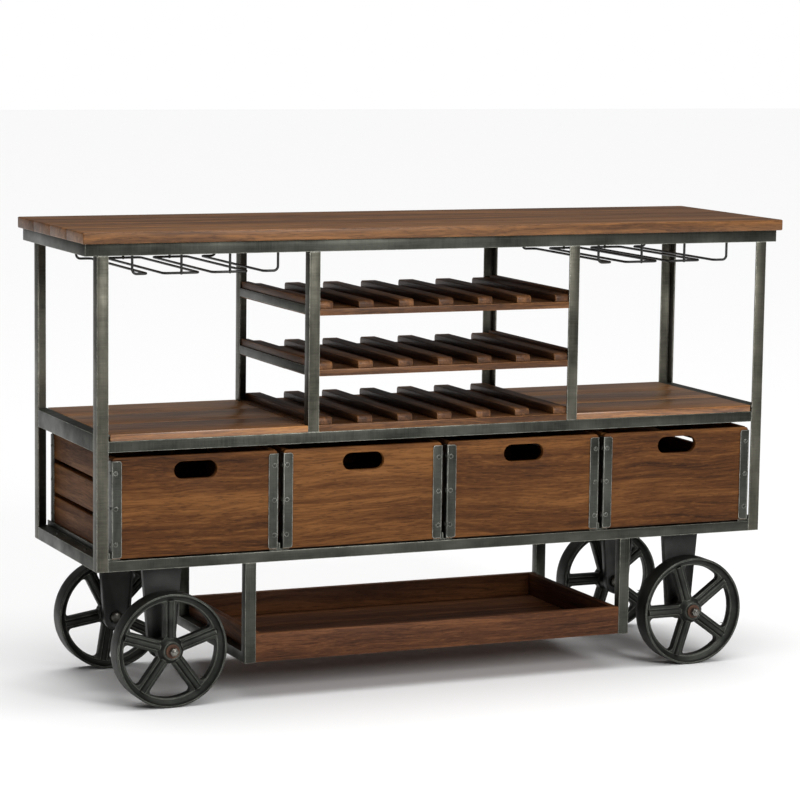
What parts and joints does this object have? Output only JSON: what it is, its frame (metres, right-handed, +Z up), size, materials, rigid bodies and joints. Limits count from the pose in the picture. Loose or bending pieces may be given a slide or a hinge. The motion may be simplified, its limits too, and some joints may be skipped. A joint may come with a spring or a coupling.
{
  "type": "bar cart on wheels",
  "caption": "Industrial bar cart: wooden top on a steel angle frame with a wine rack, hanging stemware racks, sliding crates, a hanging tray and cast wheels.",
  "frame": {"origin": "on the floor under the middle of the cart", "axes": "+X along the cart to its right end, the front faces -Y, +Z up"},
  "size_m": [1.5, 0.4496, 0.92],
  "materials": {
    "top_wood": "greyish brown waxed planks with a satin sheen",
    "crate_wood": "red-brown stained mango wood, dark grain, worn edges",
    "shelf_wood": "red-brown stained boards and slats",
    "frame_steel": "brushed gunmetal steel with worn edges",
    "strap_steel": "brushed steel straps with round rivets",
    "black_steel": "satin black paint",
    "cast_iron": "charcoal casting with rubbed highlights",
    "axle_steel": "plain steel fasteners with some rust"
  },
  "bodies": {
    "cart_frame": {"table_top": "top_wood", "top_ring": "frame_steel", "middle_ring": "frame_steel", "lower_ring": "frame_steel", "corner_post_front_left": "frame_steel", "middle_post_front_left": "frame_steel", "corner_post_front_right": "frame_steel", "middle_post_front_right": "frame_steel", "corner_post_back_right": "frame_steel", "middle_post_back_right": "frame_steel", "corner_post_back_left": "frame_steel", "middle_post_back_left": "frame_steel", "shelf_board_left": "shelf_wood", "shelf_board_centre": "shelf_wood", "shelf_board_right": "shelf_wood", "wine_tier_1": "shelf_wood", "wine_tier_2": "shelf_wood", "tier_1_angle_left": "frame_steel", "tier_1_angle_right": "frame_steel", "tier_2_angle_left": "frame_steel", "tier_2_angle_right": "frame_steel", "glass_rack_left": "black_steel", "glass_rack_right": "black_steel", "crate_guide_1": "frame_steel", "crate_guide_2": "frame_steel", "crate_guide_3": "frame_steel", "crate_guide_4": "frame_steel", "crate_guide_5": "frame_steel", "axle_beam_left": "black_steel", "axle_beam_right": "black_steel", "wheel_bracket_front_left": "black_steel", "axle_bolt_front_left": "axle_steel", "wheel_bracket_front_right": "black_steel", "axle_bolt_front_right": "axle_steel", "wheel_bracket_back_right": "black_steel", "axle_bolt_back_right": "axle_steel", "wheel_bracket_back_left": "black_steel", "axle_bolt_back_left": "axle_steel", "tray_box": "crate_wood", "tray_hanger_left": "frame_steel", "tray_hanger_right": "frame_steel"},
    "crate_1": {"crate_1_box": "crate_wood", "crate_1_strap_left": "strap_steel", "crate_1_strap_right": "strap_steel"},
    "crate_2": {"crate_2_box": "crate_wood", "crate_2_strap_left": "strap_steel", "crate_2_strap_right": "strap_steel"},
    "crate_3": {"crate_3_box": "crate_wood", "crate_3_strap_left": "strap_steel", "crate_3_strap_right": "strap_steel"},
    "crate_4": {"crate_4_box": "crate_wood", "crate_4_strap_left": "strap_steel", "crate_4_strap_right": "strap_steel"},
    "wheel_front_left": {"wheel_front_left": "cast_iron"},
    "wheel_front_right": {"wheel_front_right": "cast_iron"},
    "wheel_back_right": {"wheel_back_right": "cast_iron"},
    "wheel_back_left": {"wheel_back_left": "cast_iron"}
  },
  "joints": [
    {"name": "crate_1_slide", "type": "slide", "parent": "cart_frame", "child": "crate_1", "axis": [0, -1, 0], "range_m": [0, 0.3]},
    {"name": "crate_2_slide", "type": "slide", "parent": "cart_frame", "child": "crate_2", "axis": [0, -1, 0], "range_m": [0, 0.3]},
    {"name": "crate_3_slide", "type": "slide", "parent": "cart_frame", "child": "crate_3", "axis": [0, -1, 0], "range_m": [0, 0.3]},
    {"name": "crate_4_slide", "type": "slide", "parent": "cart_frame", "child": "crate_4", "axis": [0, -1, 0], "range_m": [0, 0.3]},
    {"name": "wheel_front_left_spin", "type": "hinge", "parent": "cart_frame", "child": "wheel_front_left", "pos_m": [-0.5685, -0.185, 0.1115], "axis": [0, 1, 0], "continuous": true},
    {"name": "wheel_front_right_spin", "type": "hinge", "parent": "cart_frame", "child": "wheel_front_right", "pos_m": [0.5685, -0.185, 0.1115], "axis": [0, 1, 0], "continuous": true},
    {"name": "wheel_back_right_spin", "type": "hinge", "parent": "cart_frame", "child": "wheel_back_right", "pos_m": [0.5685, 0.185, 0.1115], "axis": [0, 1, 0], "continuous": true},
    {"name": "wheel_back_left_spin", "type": "hinge", "parent": "cart_frame", "child": "wheel_back_left", "pos_m": [-0.5685, 0.185, 0.1115], "axis": [0, 1, 0], "continuous": true}
  ]
}
